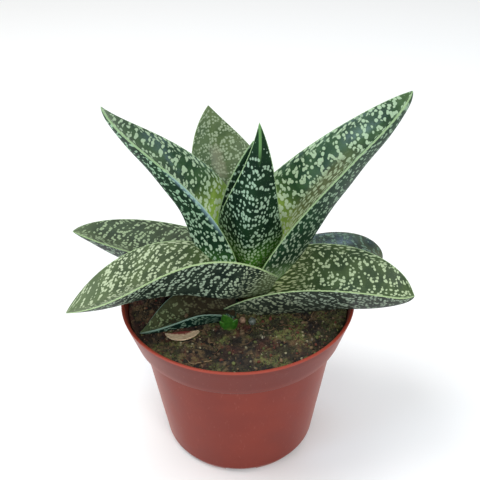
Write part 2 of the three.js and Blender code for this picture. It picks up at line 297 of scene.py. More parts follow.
def put(tree, kind, values=None, **settings):
    """One node: settings are its properties; values go to its inputs, as links or numbers."""
    node = tree.nodes.new(kind)
    for key, value in settings.items():
        setattr(node, key, value)
    for key, value in (values or {}).items():
        if isinstance(value, bpy.types.NodeSocket):
            tree.links.new(value, node.inputs[key])
        else:
            node.inputs[key].default_value = value
    return node


def calc(tree, operation, *values):
    """The result of one math node."""
    return put(tree, "ShaderNodeMath", dict(enumerate(values)), operation=operation).outputs[0]


def move(tree, operation, *values):
    """The result of one vector math node."""
    return put(tree, "ShaderNodeVectorMath", dict(enumerate(values)), operation=operation).outputs[0]


def ramp(tree, value, low, high, start=0.0, end=1.0):
    """value from low to high, eased to start to end."""
    node = put(
        tree, "ShaderNodeMapRange", {0: value, 1: low, 2: high, 3: start, 4: end},
        interpolation_type="SMOOTHSTEP",
    )
    return node.outputs[0]


def mix(tree, share, one, other):
    """Two colours mixed by a share."""
    node = put(tree, "ShaderNodeMix", {0: share, 6: one, 7: other}, data_type="RGBA")
    return node.outputs[2]


def times(tree, first, *others):
    """The product of several values."""
    for other in others:
        first = calc(tree, "MULTIPLY", first, other)
    return first


def cloud(tree, vector, scale, detail=2.0, rough=0.5):
    """Soft noise from 0 to 1."""
    return put(
        tree, "ShaderNodeTexNoise",
        {"Vector": vector, "Scale": scale, "Detail": detail, "Roughness": rough},
    ).outputs[0]


def attribute(tree, name):
    """A named vector that the mesh carries at each point."""
    return put(tree, "ShaderNodeAttribute", attribute_name=name).outputs["Vector"]


def object_point(tree):
    """The shaded point in the object's own metres."""
    return put(tree, "ShaderNodeTexCoord").outputs["Object"]


def split(tree, vector):
    """The three parts of a vector."""
    return put(tree, "ShaderNodeSeparateXYZ", {0: vector}).outputs


def new_material(name):
    """A material, its node tree and its shader."""
    material = bpy.data.materials.new(name)
    material.use_nodes = True
    tree = material.node_tree
    return material, tree, tree.nodes["Principled BSDF"]


def set_relief(tree, shader, height, strength, distance):
    """Fine relief on a shader: a height from 0 to 1 that stands for a distance in metres."""
    node = put(
        tree, "ShaderNodeBump", {"Height": height, "Strength": strength, "Distance": distance}
    )
    tree.links.new(node.outputs[0], shader.inputs["Normal"])


def open_group(name, inputs, outputs):
    """An empty shader group with named sockets, and its input and output nodes."""
    tree = bpy.data.node_groups.new(name, "ShaderNodeTree")
    for label, kind in inputs:
        tree.interface.new_socket(label, in_out="INPUT", socket_type=kind)
    for label, kind in outputs:
        tree.interface.new_socket(label, in_out="OUTPUT", socket_type=kind)
    return tree, tree.nodes.new("NodeGroupInput"), tree.nodes.new("NodeGroupOutput")


VALUE = "NodeSocketFloat"
VECTOR = "NodeSocketVector"


def dots_group():
    """Round raised spots on points jittered about a grid of the gap's width: full inside a disc
    of each point's own radius, where close discs run together. The discs grow with the amount."""
    tree, start, finish = open_group(
        "leaf_dots", [("Skin", VECTOR), ("Gap", VALUE), ("Radius", VALUE), ("Amount", VALUE)],
        [("Dots", VALUE)],
    )
    gap = start.outputs["Gap"]
    cells = put(
        tree, "ShaderNodeTexVoronoi",
        {"Vector": start.outputs["Skin"], "Scale": calc(tree, "DIVIDE", 1.0, gap),
         "Smoothness": 0.12, "Randomness": 0.85},
        voronoi_dimensions="2D", feature="SMOOTH_F1",
    )
    chance = put(tree, "ShaderNodeSeparateColor", {0: cells.outputs["Color"]}).outputs[0]
    own_share = calc(tree, "MULTIPLY_ADD", chance, 0.5, 0.75)
    grown = ramp(tree, start.outputs["Amount"], 0.3, 0.62)
    radius = times(tree, start.outputs["Radius"], own_share, grown)
    distance = calc(tree, "MULTIPLY", cells.outputs["Distance"], gap)
    inside = ramp(tree, calc(tree, "SUBTRACT", distance, radius), 0.14, -0.14)
    tree.links.new(inside, finish.inputs["Dots"])
    return tree


def streaks_group():
    """Narrow pale dashes that run along the leaf, wider where the amount is high."""
    tree, start, finish = open_group(
        "leaf_streaks", [("Skin", VECTOR), ("Amount", VALUE)], [("Streaks", VALUE)]
    )
    stretched = move(tree, "MULTIPLY", start.outputs["Skin"], (0.95, 0.3, 1))
    cells = put(
        tree, "ShaderNodeTexVoronoi",
        {"Vector": stretched, "Scale": 1.0, "Smoothness": 0.2, "Randomness": 0.95},
        voronoi_dimensions="2D", feature="SMOOTH_F1",
    )
    wide = calc(tree, "MULTIPLY", start.outputs["Amount"], 0.55)
    streak = ramp(tree, calc(tree, "SUBTRACT", cells.outputs["Distance"], wide), 0.1, -0.1)
    tree.links.new(streak, finish.inputs["Streaks"])
    return tree


dots = dots_group()
streaks = streaks_group()


def leaf_coordinates(tree, arc):
    """Where a point lies on its leaf: u and v are mm across and along it, margin mm from the
    edge, t its share of the length and outer 1 on the outer face. flat is u and v with a shift of
    its own for each leaf and face; laid is flat, bent across the leaf and set wandering."""
    u, v, number = split(tree, attribute(tree, "skin"))
    margin, t, outer = split(tree, attribute(tree, "place"))
    outer = ramp(tree, outer, 0.45, 0.55)
    leaf_shift = calc(tree, "MULTIPLY", number, 63.7)
    shift = calc(tree, "ADD", leaf_shift, calc(tree, "MULTIPLY", outer, 31.3))
    shifted = calc(tree, "ADD", u, shift)
    flat = put(tree, "ShaderNodeCombineXYZ", {0: shifted, 1: v, 2: 0.0}).outputs[0]
    noise = put(tree, "ShaderNodeTexNoise", {"Vector": flat, "Scale": 0.09, "Detail": 1.0})
    drift = move(tree, "SUBTRACT", noise.outputs["Color"], (0.5, 0.5, 0.5))
    wandering = move(tree, "ADD", flat, move(tree, "MULTIPLY", drift, (4.0, 5.0, 0)))
    bend = put(tree, "ShaderNodeCombineXYZ", {1: times(tree, u, u, arc)}).outputs[0]
    laid = move(tree, "ADD", wandering, bend)
    return dict(u=u, v=v, margin=margin, t=t, outer=outer, flat=flat, laid=laid)


def by_face(tree, at, inner_value, outer_value):
    """One value on a leaf's inner face and another on its outer face."""
    return calc(tree, "MULTIPLY_ADD", at["outer"], outer_value - inner_value, inner_value)


def spot_amount(tree, look, at):
    """How thickly spots grow: cross chains from soft noise, more near the base, few at the tip."""
    belt = cloud(tree, move(tree, "MULTIPLY", at["laid"], look["belt"]), 1.0, 0.0)
    chains = calc(tree, "MULTIPLY", calc(tree, "SUBTRACT", belt, 0.5), 2.8)
    amount = calc(tree, "ADD", look["spots"], chains)
    bare = ramp(tree, at["t"], look["bare_from"], look["bare_from"] + 0.15, 0, look["bare_tip"])
    more = by_face(tree, at, look["base_spots"], look["under_more"])
    more = calc(tree, "MULTIPLY", more, ramp(tree, at["t"], 0.4, 0.2))
    return calc(tree, "ADD", calc(tree, "SUBTRACT", amount, bare), more)


def leaf_pattern(tree, look, at):
    """Where the skin is pale, from 0 to 1: round spots, and dashes along the leaf in their place
    near the margins, near the base and on the shaded half. That half is given back as well."""
    t = at["t"]
    spots = put(
        tree, "ShaderNodeGroup",
        {
            "Skin": move(tree, "MULTIPLY", at["flat"], (1, 1 / look["long"], 1)),
            "Gap": by_face(tree, at, look["gap"], look["under_gap"]),
            "Radius": by_face(tree, at, look["radius"], look["under_radius"]),
            "Amount": spot_amount(tree, look, at),
        },
        node_tree=dots,
    ).outputs[0]
    near_edge = times(
        tree, ramp(tree, at["margin"], 5.0, 1.5), ramp(tree, t, 0.9, 0.6), by_face(tree, at, 1.0, 0.1)
    )
    dashed = by_face(tree, at, look["base_end"], look["under_dashed"])
    near_base = ramp(tree, t, dashed, calc(tree, "MULTIPLY", dashed, 0.3))
    shaded = times(
        tree, ramp(tree, at["u"], 7.0, 2.0), by_face(tree, at, 1.0, 0.0), ramp(tree, t, 0.2, 0.32),
        ramp(tree, t, 0.68, 0.5),
    )
    lengthwise = calc(tree, "MAXIMUM", calc(tree, "MULTIPLY", near_edge, 0.75), near_base)
    on_shaded = calc(tree, "MULTIPLY", shaded, 2.6 * look["warm"])
    lengthwise = calc(tree, "MAXIMUM", lengthwise, on_shaded)
    strength = by_face(tree, at, look["lines"], look["under_lines"])
    dashes = put(
        tree, "ShaderNodeGroup",
        {"Skin": at["flat"], "Amount": calc(tree, "MULTIPLY", lengthwise, strength)},
        node_tree=streaks,
    ).outputs[0]
    spots = calc(tree, "MULTIPLY", spots, ramp(tree, lengthwise, 0.8, 0.3))
    dashes = calc(tree, "MULTIPLY", dashes, ramp(tree, lengthwise, 0.2, 0.5))
    return calc(tree, "MAXIMUM", spots, dashes), shaded


def leaf_colors(tree, look, at, mottle):
    """The ground's colour and the spots': a mottled green on each face, another colour near the
    base, and another green at the tip. On the upper and centre leaves the pale green near the base
    is partly the leaf's own colour and partly painted light that shines through the leaf."""
    t = at["t"]
    inner_share = ramp(tree, mottle, 0.35, 0.65)
    inner = mix(tree, inner_share, linear(*look["ground"]), linear(*look["ground_light"]))
    # The inner face's pale green near the base is partly the leaf's own and, on the upper and centre
    # leaves, partly painted light that shines through the leaf.
    uneven_t = calc(tree, "ADD", t, calc(tree, "MULTIPLY", mottle, 0.12))
    base_tint = ramp(tree, uneven_t, look["base_tint_end"], 0.5 * look["base_tint_end"])
    inner = mix(tree, base_tint, inner, linear(*look["base_tint"]))
    under_share = ramp(tree, mottle, 0.3, 0.7)
    under = mix(tree, under_share, linear(*look["under"]), linear(*look["under_light"]))
    # The outer face's pale base green is likewise partly painted light shining through the leaf on the
    # upper and centre leaves.
    at_base = ramp(tree, t, look["under_end"], 0.35 * look["under_end"])
    under = mix(tree, at_base, under, linear(*look["under_base"]))
    at_tip = calc(tree, "MULTIPLY", ramp(tree, t, 0.8, 1.0), by_face(tree, at, 0.7, 0.2))
    ground = mix(tree, at_tip, mix(tree, at["outer"], inner, under), linear(*look["tip"]))
    spot = mix(tree, at["outer"], linear(*look["spot"]), linear(*look["under_spot"]))
    base_tint_spots = calc(tree, "MULTIPLY", base_tint, by_face(tree, at, 1.0, 0.3))
    return ground, mix(tree, base_tint_spots, spot, linear(*look["base_tint_spot"]))


def corky_patch(tree, look, at):
    """Where an old scar has turned the skin beige, from 0 to 0.55: an oval with a ragged edge."""
    middle_u, middle_v = look["cork"]
    aside = calc(tree, "DIVIDE", calc(tree, "SUBTRACT", at["u"], middle_u), 4.4)
    along = calc(tree, "DIVIDE", calc(tree, "SUBTRACT", at["v"], middle_v), 10.0)
    away = calc(tree, "ADD", times(tree, aside, aside), times(tree, along, along))
    ragged = calc(tree, "ADD", away, calc(tree, "MULTIPLY", cloud(tree, at["flat"], 0.5), 1.6))
    return ramp(tree, ragged, 1.9, 0.9, 0, 0.55)


def keel_line(tree, look, at):
    """Where the keel shows pale, from 0 to 1: down the middle of the outer face near the tip."""
    off_keel = calc(tree, "SUBTRACT", calc(tree, "ABSOLUTE", at["u"]), look["keel_line"])
    return times(tree, ramp(tree, off_keel, 0.2, -0.2), at["outer"], ramp(tree, at["t"], 0.78, 0.9))


def horny_margin(tree, look, at):
    """Where the pale horny margin lies, from 0 to 1: a scalloped band, narrow at both ends."""
    wide = times(
        tree, by_face(tree, at, look["margin"], look["under_margin"]),
        ramp(tree, at["t"], 1.0, 0.85, 0.5, 1.0), ramp(tree, at["t"], 0.2, 0.5, look["margin_base"], 1.0),
    )
    scallop = calc(tree, "MULTIPLY_ADD", cloud(tree, at["flat"], 0.9, 1.0), 0.9, 0.55)
    inside = calc(tree, "SUBTRACT", at["margin"], calc(tree, "MULTIPLY", wide, scallop))
    return ramp(tree, inside, 0.22, -0.22)


def painted_glint_mask(tree, look, at):
    """Where a bluish glint is painted on the outer face, from 0 to 1: a painted reflection beside the
    margin, over a stretch of the length."""
    low, high = look["painted_glint"]
    return times(
        tree, ramp(tree, at["t"], low - 0.08, low), ramp(tree, at["t"], high + 0.1, high),
        at["outer"], ramp(tree, at["margin"], 4.0, 0.4),
    )


def leaf_material(name, look, gloss, rough):
    """Waxy leaf skin: green ground with raised pale spots and dashes, then the scar, the keel,
    the margin, the olive shaded half and a painted bluish glint over it."""
    material, tree, shader = new_material(name)
    at = leaf_coordinates(tree, look["arc"])
    mottle = cloud(tree, at["flat"], 0.12, 3.0)
    pale, shaded = leaf_pattern(tree, look, at)
    ground, spot = leaf_colors(tree, look, at, mottle)
    color = mix(tree, calc(tree, "MULTIPLY", pale, 0.9), ground, spot)
    if look["cork"]:
        color = mix(tree, corky_patch(tree, look, at), color, linear(152, 154, 128))
    keel = calc(tree, "MULTIPLY", keel_line(tree, look, at), 0.9)
    color = mix(tree, keel, color, linear(*look["keel"]))
    edge = calc(tree, "MULTIPLY", horny_margin(tree, look, at), 0.9)
    color = mix(tree, edge, color, linear(*look["edge"]))
    color = mix(tree, calc(tree, "MULTIPLY", shaded, look["warm"]), color, linear(138, 130, 90))
    # A painted bluish glint beside the margin: a painted reflection mixed into the colour.
    if look["painted_glint"]:
        painted_glint = calc(tree, "MULTIPLY", painted_glint_mask(tree, look, at), 0.62)
        color = mix(tree, painted_glint, color, linear(150, 180, 192))
    tree.links.new(color, shader.inputs["Base Color"])
    grain = cloud(tree, at["flat"], 3.0, 3.0)
    relief = calc(tree, "ADD", pale, calc(tree, "MULTIPLY", grain, 0.35))
    set_relief(tree, shader, relief, 0.5, 0.00018)
    dull_spots = calc(tree, "ADD", rough, calc(tree, "MULTIPLY", pale, 0.12))
    roughness = calc(tree, "ADD", dull_spots, calc(tree, "MULTIPLY", mottle, 0.1))
    tree.links.new(roughness, shader.inputs["Roughness"])
    shader.inputs["Specular IOR Level"].default_value = gloss
    return material


# What each kind of leaf looks like. Colours run from 0 to 255; a key with under is the outer
# face's. ground to ground_light is the mottled green, base_tint the colour of the base up to
# base_tint_end, tip the tip's. On the upper and centre leaves the pale base green, base_tint,
# base_tint_spot and under_base, is partly the leaf's own and partly painted light that shines
# through the leaf. belt is how close the cross chains lie across and along, arc how they bend,
# spots how thick they are, base_spots and under_more how much thicker at the base, bare_from and
# bare_tip where and how far they thin out. gap and radius are the spots' in mm, long how far they
# are drawn out. lines is how strong dashes are, up to base_end or under_dashed of the length.
# margin and keel_line are widths in mm, margin_base what is left of the margin at the base. rough
# is the inner face's roughness, cork the middle of a scar in mm, painted_glint the stretch of the
# length with a painted bluish glint, and warm how olive the shaded half is.
# The upper leaves' pale base greens and near-white base spots are partly painted light that shines
# through the leaf.
upper_look = dict(
    ground=(36, 64, 42), ground_light=(60, 90, 56), base_tint=(206, 244, 112), base_tint_end=0.44,
    base_tint_spot=(246, 255, 226), under=(18, 46, 30), under_light=(28, 60, 38),
    under_base=(120, 158, 98), under_end=0.2, spot=(176, 202, 166), under_spot=(140, 166, 140),
    tip=(100, 126, 84), edge=(158, 188, 140), keel=(104, 160, 92), belt=(0.3, 0.34, 0), arc=-0.012,
    spots=0.53, base_spots=0.7, bare_tip=0.3, bare_from=0.84, gap=2.05, radius=0.88, under_gap=2.3,
    under_radius=0.86, under_more=0.1, long=1, base_end=0.24, under_dashed=0.2, lines=0.9,
    under_lines=0.8, margin=0.3, under_margin=1.2, margin_base=0.7, keel_line=-1, rough=0.15,
    cork=None, painted_glint=None, warm=0.28,
)
# The upper left leaf carries a painted bluish glint beside its margin on the outer face.
upper_left_look = dict(
    upper_look, under_base=(84, 138, 56), under_gap=2.15, under_radius=0.9, spots=0.47,
    under_spot=(160, 194, 160), under_more=0.2, margin_base=0.3, painted_glint=(0.3, 0.52), warm=0,
)
centre_look = dict(
    upper_look, ground=(20, 46, 28), ground_light=(34, 64, 36), under=(12, 34, 22),
    under_light=(24, 50, 30), under_base=(88, 142, 56), under_end=0.32, under_spot=(150, 178, 153),
    tip=(48, 86, 50), spots=0.62, belt=(0.16, 0.4, 0), margin=0.4, under_margin=0.5, lines=0.6,
    gap=1.55, radius=0.55, under_gap=1.55, under_radius=0.54, under_more=0.5, under_dashed=0.03,
    long=1.3, keel=(100, 142, 86), keel_line=0.6, base_end=0.03, bare_tip=0.5, bare_from=0.74,
    rough=0.28, warm=0,
)
outer_look = dict(
    upper_look, ground=(54, 72, 42), ground_light=(76, 94, 56), base_tint=(76, 94, 52),
    base_tint_spot=(214, 224, 172), spot=(184, 198, 162), tip=(98, 116, 80), under=(24, 36, 30),
    under_light=(42, 54, 44), under_base=(98, 110, 78), under_spot=(152, 172, 148),
    edge=(174, 200, 146), belt=(0.11, 0.45, 0), arc=0.02, gap=1.7, radius=0.7, under_gap=1.75,
    under_radius=0.7, under_more=0, spots=0.55, base_spots=0.1, lines=0.85, under_lines=0.6,
    under_dashed=0.38, margin=0.5, under_margin=0.9, base_end=0.42, rough=0.34, warm=0,
)
right_look = dict(
    outer_look, ground=(50, 70, 42), ground_light=(72, 92, 54), spot=(190, 208, 166),
    under=(40, 48, 42), under_light=(54, 62, 52), under_base=(62, 76, 60), under_end=0.14,
    under_spot=(146, 162, 142), belt=(0.2, 0.4, 0), gap=1.8, radius=0.66, margin=0.35, lines=0.75,
    under_lines=0.4, under_dashed=0.08,
)
left_look = dict(
    outer_look, ground=(46, 60, 38), ground_light=(60, 76, 48), base_tint=(44, 54, 40),
    spot=(152, 172, 134), margin=0.4, under_margin=0.6, edge=(150, 176, 122),
)
back_look = dict(
    outer_look, ground=(64, 88, 48), ground_light=(84, 106, 62), base_tint_end=0.1, spot=(158, 176, 144),
    tip=(106, 126, 84), edge=(146, 168, 120), spots=0.64, bare_tip=0.1, margin=0.2, belt=(0.24, 0.3, 0),
    base_end=0.1, gap=1.4, radius=0.54, under_gap=1.4, under_radius=0.54, under_margin=0.3,
    cork=(0.5, 53),
)
level_look = dict(
    upper_look, ground=(22, 40, 34), ground_light=(48, 62, 42), spot=(92, 118, 100), tip=(96, 104, 76),
    edge=(122, 114, 98), spots=0.42, margin=0.4, belt=(0.16, 0.36, 0), gap=1.5, radius=0.66,
    under_gap=1.5, under_radius=0.66, under_margin=0.5, warm=0,
)
small_look = dict(
    outer_look, ground=(64, 72, 48), ground_light=(84, 90, 60), spot=(150, 166, 122), under=(12, 42, 36),
    under_light=(20, 56, 44), under_base=(24, 58, 46), under_spot=(150, 190, 166), edge=(134, 166, 150),
    spots=0.48, margin=0.4, under_margin=0.9, base_end=0.05, belt=(0.3, 0.34, 0), base_tint=(60, 52, 38),
    base_tint_end=0.75, base_tint_spot=(104, 100, 72), lines=0.0, gap=1.4, radius=0.55, under_gap=1.4,
    under_radius=0.55, under_end=0.1,
)
looks = dict(
    upper=upper_look, upper_left=upper_left_look, centre=centre_look, outer=outer_look, right=right_look,
    left=left_look, back=back_look, level=level_look, small=small_look,
)
leaf_materials = {
    skin: (
        leaf_material(f"leaf_{skin}_inner_face", look, 0.3, look["rough"]),
        leaf_material(f"leaf_{skin}_outer_face", look, 0.06, 0.42),
    )
    for skin, look in looks.items()
}
for number, spec in enumerate(leaves):
    leaf = {**plain_leaf, **spec}
    points, skin, place, rows, columns = leaf_arrays(leaf, number + 1)
    quads, fans = tube_faces(rows, columns)
    vectors = {"skin": skin, "place": place}
    piece = make_mesh(leaf["name"] + "_fine", points, quads, fans, vectors)
    for material in leaf_materials[leaf["skin"]]:
        piece.data.materials.append(material)
    column = np.arange(columns)
    outer_column = (column >= columns // 4) & (column < 3 * columns // 4)
    outer_face = np.tile(outer_column, rows + 1).astype(np.int32)
    piece.data.polygons.foreach_set("material_index", outer_face)
    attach(piece, "root")
    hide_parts(leaf["name"])

# Young offset: three small soft blades that break the soil in front of the stem.
offset_blade = {
    **plain_leaf, "fold": 0.3, "keel": 0.25, "edge": 0.3, "teeth": 0, "steps": 60, "sides": 24,
}
blades = [
    dict(
        spine=[(-4, -20, 71.5), (-4, -20.6, 76), (-5, -21.8, 80), (-6.5, -23, 83.5)],
        heading=270, half=3.1,
    ),
    dict(
        spine=[(-3.2, -20, 71.5), (-2.2, -20.2, 75), (-1.4, -20.8, 77.5), (-0.4, -21.5, 79.8)],
        heading=285, half=2.1,
    ),
    dict(
        spine=[(-4.8, -20, 71.5), (-6, -20.3, 74.5), (-7, -21, 77), (-8, -21.8, 79)],
        heading=255, half=1.9,
    ),
]
tuft_points, tuft_quads, tuft_fans, tuft_place = [], [], [], []
for index, blade in enumerate(blades):
    points, skin, place, rows, columns = leaf_arrays({**offset_blade, **blade}, 20 + index)
    quads, fans = tube_faces(rows, columns, index * len(points))
    tuft_points.append(points)
    tuft_quads.append(quads)
    tuft_fans.append(fans)
    tuft_place.append(place)
tuft = make_mesh(
    "young_offset_fine", np.concatenate(tuft_points), np.concatenate(tuft_quads),
    np.concatenate(tuft_fans), {"place": np.concatenate(tuft_place)},
)
offset_material, tree, shader = new_material("offset_skin")
margin, t = split(tree, attribute(tree, "place"))[:2]
where = object_point(tree)
blotch = cloud(tree, where, 700, 2)
green = mix(tree, ramp(tree, blotch, 0.3, 0.7), linear(34, 82, 18), linear(56, 110, 30))
green = mix(tree, ramp(tree, margin, 0.35, 0.1, 0, 0.4), green, linear(100, 142, 64))
green = mix(tree, ramp(tree, t, 0.35, 0.0), green, linear(120, 140, 70))
tree.links.new(green, shader.inputs["Base Color"])
shader.inputs["Roughness"].default_value = 0.42
shader.inputs["Subsurface Weight"].default_value = 0.15
shader.inputs["Subsurface Scale"].default_value = 0.001
tuft.data.materials.append(offset_material)
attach(tuft, "root")
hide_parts("young_offset")

# Dried scrap: a thin curled bit of an old leaf, cream with a red-brown edge, lying on the soil.
scrap_leaf = {
    **plain_leaf,
    "spine": [(-17, -21.8, 73.9), (-21, -26.8, 74.8), (-27, -27.4, 74.6), (-31.5, -22.8, 73.8)],
    "heading": 185, "half": 3, "widest": 0.5, "base": 0.15, "fold": 0.15, "keel": 0.05, "edge": 0.3,
    "wave": 0.5, "teeth": 0.15, "steps": 140, "sides": 48,
}
points, skin, place, rows, columns = leaf_arrays(scrap_leaf, 31)
quads, fans = tube_faces(rows, columns)
scrap = make_mesh("dried_leaf_scrap_fine", points, quads, fans, {"skin": skin, "place": place})
scrap_material, tree, shader = new_material("dry_leaf")
skin = attribute(tree, "skin")
u = split(tree, skin)[0]
fibres = cloud(tree, move(tree, "MULTIPLY", skin, (3.0, 0.5, 0)), 1.0, 3)
dry = mix(tree, ramp(tree, fibres, 0.3, 0.7), linear(160, 132, 104), linear(220, 198, 166))
edge_side = calc(tree, "ADD", u, calc(tree, "MULTIPLY", cloud(tree, skin, 0.6), 2.0))
dry = mix(tree, ramp(tree, edge_side, 0.6, -0.4), dry, linear(112, 46, 38))
tree.links.new(dry, shader.inputs["Base Color"])
shader.inputs["Roughness"].default_value = 0.75
set_relief(tree, shader, fibres, 0.6, 0.0002)
scrap.data.materials.append(scrap_material)
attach(scrap, "root")
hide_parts("dried_leaf_scrap")

# Pot: a thin conical plastic nursery pot, moulded in one piece, with a wide collar under the
# rim and drain slots round its foot. A slot reaches slot_depth in and out from slot_radius.
pot_height = 77
rim_radius = 52.5
collar_height = 15.7
collar_foot_radius = 47.5
body_top_radius = 44.5
body_foot_radius = 36.4
foot_radius = 34.2
pot_wall = 1.2
lip_width = 1.6
pot_floor = 1.4
foot_rise = 6
lip_height = 2
lip_slope = 0.3
corner_round = 0.7
pot_segments = 192
slot_count = 8
slot_width = 14
slot_height = 1.8
slot_depth = 6
slot_radius = 34.7
ledge = pot_height - collar_height
inner_lip_radius = rim_radius - lip_width


def rounded(corners, radius, steps=5):
    """A profile of (r, z) corners, each inner corner replaced by a short curve that starts and
    ends at most radius away from it."""
    path = [np.array(corners[0], float)[None]]
    for before, corner, after in zip(corners, corners[1:], corners[2:]):
        before, corner, after = (np.array(p, float) for p in (before, corner, after))
        reach_in = min(radius, 0.45 * np.linalg.norm(before - corner))
        reach_out = min(radius, 0.45 * np.linalg.norm(after - corner))
        first = corner + unit(before - corner) * reach_in
        last = corner + unit(after - corner) * reach_out
        s = np.linspace(0, 1, steps)[:, None]
        path.append(first * (1 - s) ** 2 + 2 * corner * s * (1 - s) + last * s**2)
    path.append(np.array(corners[-1], float)[None])
    return np.concatenate(path)


def turned(profile, segments):
    """Points of a profile turned about the vertical axis, one row a profile point."""
    angle = np.arange(segments) * 2 * np.pi / segments
    r, z = profile[:, :1], profile[:, 1:]
    return np.stack([r * np.cos(angle), r * np.sin(angle), z + 0 * angle], axis=-1)


def closed_turn(name, profile, segments):
    """A turned solid whose profile starts and ends on the axis."""
    rows = turned(profile[1:-1], segments)
    ends = [[0, 0, profile[0, 1]], [0, 0, profile[-1, 1]]]
    quads, fans = tube_faces(len(rows), segments)
    return make_mesh(name, np.concatenate([rows.reshape(-1, 3), ends]), quads[:, ::-1], fans[:, ::-1])


def densify(profile, step):
    """The same profile with points no further apart than a step."""
    out = [profile[:1]]
    for a, b in zip(profile[:-1], profile[1:]):
        count = max(1, int(np.ceil(np.linalg.norm(b - a) / step)))
        out.append(a + (b - a) * (np.arange(1, count + 1) / count)[:, None])
    return np.concatenate(out)


def slot_corners(turn):
    """The eight corners of the block that one drain slot takes out of the foot, turned about the
    pot's axis. It reaches below the ground, so that the slot is open at the bottom."""
    out = np.array([-slot_depth, slot_depth])[:, None, None] + slot_radius
    aside = np.array([-slot_width / 2, slot_width / 2])[None, :, None]
    height = np.array([-1.0, slot_height])[None, None, :]
    x = out * np.cos(turn) - aside * np.sin(turn)
    y = out * np.sin(turn) + aside * np.cos(turn)
    return np.stack(np.broadcast_arrays(x, y, height), axis=-1).reshape(-1, 3)


pot_outline = rounded(
    [
        (0, 0), (foot_radius, 0), (body_foot_radius - 0.4, foot_rise / 2),
        (body_foot_radius, foot_rise), (body_top_radius, ledge), (collar_foot_radius, ledge),
        (rim_radius, pot_height), (inner_lip_radius, pot_height),
        (inner_lip_radius - lip_slope, pot_height - lip_height),
        (collar_foot_radius - pot_wall, ledge + pot_wall),
        (body_top_radius - pot_wall, ledge + pot_wall), (body_foot_radius - pot_wall, foot_rise),
        (foot_radius - pot_wall, pot_floor), (0, pot_floor),
    ],
    corner_round,
)
pot = closed_turn("pot_fine", densify(pot_outline, 4), pot_segments)
box_faces = np.array(
    [[0, 1, 3, 2], [4, 6, 7, 5], [0, 4, 5, 1], [2, 3, 7, 6], [0, 2, 6, 4], [1, 5, 7, 3]]
)
cutters = []
for index in range(slot_count):
    corners = slot_corners(2 * np.pi * index / slot_count - np.pi / 2)
    cutter = make_mesh(f"slot_cutter_{index}", corners, box_faces, smooth=False)
    cutters.append(cutter)
    cut = pot.modifiers.new("slot", "BOOLEAN")
    cut.operation = "DIFFERENCE"
    cut.solver = "EXACT"
    cut.object = cutter
evaluated = pot.evaluated_get(bpy.context.evaluated_depsgraph_get())
pot_mesh = bpy.data.meshes.new_from_object(evaluated)
pot.modifiers.clear()
pot.data = pot_mesh
for cutter in cutters:
    bpy.data.objects.remove(cutter)

# Pot's finish: red-brown plastic with a satin surface, dusty in places, with painted light and
# shade: painted shade on the collar, in the corner under it and in a line on the body below it, a
# painted sheen where it turns away and a painted highlight on the lip.
collar_fade = 3
shaded_corner_height = ledge + 0.3
shadow_line_height = ledge - 2.2
lip_highlight_from, lip_highlight_to = pot_height - 0.9, pot_height - 0.4
pot_material, tree, shader = new_material("pot_plastic")
where = object_point(tree)
height = split(tree, where)[2]
patches = cloud(tree, where, 60, 3)
tone = mix(tree, ramp(tree, patches, 0.3, 0.7), linear(112, 35, 21), linear(120, 41, 26))
# Painted shade: the collar is darker than the body.
collar_shade = ramp(tree, height, ledge * MM, (ledge + collar_fade) * MM, 0, 0.6)
tone = mix(tree, collar_shade, tone, linear(86, 24, 15))
# Painted shade: a dark band in the corner under the collar.
from_shaded_corner = calc(tree, "ABSOLUTE", calc(tree, "SUBTRACT", height, shaded_corner_height * MM))
tone = mix(tree, ramp(tree, from_shaded_corner, 1.0 * MM, 0.4 * MM, 0, 0.6), tone, linear(60, 22, 18))
# Painted sheen: the colour turns paler where the surface turns away from the view.
facing = put(tree, "ShaderNodeLayerWeight", {"Blend": 0.4}).outputs["Facing"]
tone = mix(tree, ramp(tree, facing, 0.5, 1.0, 0, 0.35), tone, linear(206, 138, 124))
# Painted highlight: a paler band along the top of the lip.
painted_lip_highlight = ramp(tree, height, lip_highlight_from * MM, lip_highlight_to * MM, 0, 0.5)
tone = mix(tree, painted_lip_highlight, tone, linear(180, 78, 60))
# Painted shadow: a dark line on the body under the collar's overhang.
from_shadow_line = calc(tree, "ABSOLUTE", calc(tree, "SUBTRACT", height, shadow_line_height * MM))
painted_shadow_line = ramp(tree, from_shadow_line, 1.3 * MM, 0.4 * MM, 0, 0.7)
tone = mix(tree, painted_shadow_line, tone, linear(60, 22, 18))
scuffs = cloud(tree, move(tree, "MULTIPLY", where, (1, 1, 0.25)), 900, 2)
dust = calc(tree, "MULTIPLY", ramp(tree, scuffs, 0.62, 0.75), 0.1)
tree.links.new(mix(tree, dust, tone, linear(186, 126, 110)), shader.inputs["Base Color"])
satin = calc(tree, "MULTIPLY_ADD", patches, 0.15, 0.38)
tree.links.new(satin, shader.inputs["Roughness"])
shader.inputs["Specular IOR Level"].default_value = 0.25
set_relief(tree, shader, cloud(tree, where, 1400, 2), 0.25, 0.0001)
pot.data.materials.append(pot_material)
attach(pot, "root")
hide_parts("pot")

# Soil: damp peat with grit and moss, poured in to just under the rim. It fills the pot's cone
# with a little clearance to the wall and is uneven on top.
soil_level = 73
soil_foot = 1.8
soil_radius = 49.2
soil_rings = 200
soil_spokes = 470


